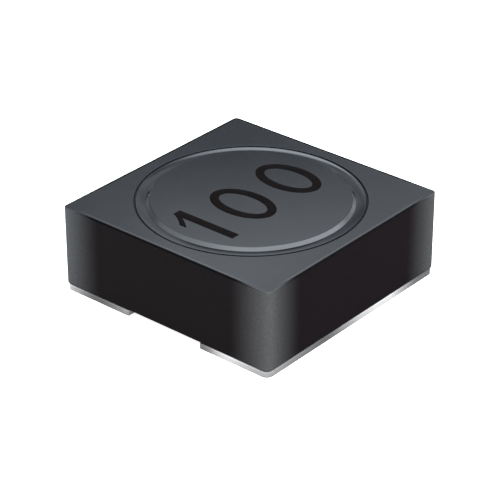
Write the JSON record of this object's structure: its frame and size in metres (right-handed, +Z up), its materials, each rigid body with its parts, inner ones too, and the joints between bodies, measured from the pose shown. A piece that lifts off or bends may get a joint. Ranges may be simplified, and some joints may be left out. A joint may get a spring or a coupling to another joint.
{
  "type": "shielded smd inductor",
  "caption": "Low square surface-mount power inductor: a ferrite drum with a copper winding, closed in a square ferrite shield, on flat tinned terminals.",
  "frame": {"origin": "under the middle of the body, on the plane that the terminals' undersides lie in", "axes": "+Z up, out of the board. The terminals lie at -X and +X, and each runs along Y. The printed digits read toward +Y with their tops toward -X."},
  "size_m": [0.0126, 0.0126, 0.0045],
  "materials": {
    "shield_ferrite": "sintered ferrite, dark grey, satin, with a very fine grain, near black on its upright faces and burnished lighter along its four upright corners",
    "drum_ferrite": "ground sintered ferrite, dark grey, satin, with a very fine grain",
    "enamelled_copper": "copper wire under clear amber enamel, glossy",
    "core_resin": "black epoxy resin, dull",
    "tinned_plate": "matt tin plate over copper alloy, bright and slightly uneven",
    "solder": "solder, bright, smooth and rounded",
    "plate_glue": "cured amber glue, semi-gloss",
    "black_ink": "black printing ink, matt"
  },
  "bodies": {
    "root": {"shield_core": "shield_ferrite", "drum_core": "drum_ferrite", "winding": "enamelled_copper", "core_adhesive": "core_resin", "terminal_left": "tinned_plate", "terminal_right": "tinned_plate", "solder_joint_left": "solder", "solder_joint_right": "solder", "terminal_adhesive_left": "plate_glue", "terminal_adhesive_right": "plate_glue", "value_marking": "black_ink"}
  },
  "joints": []
}
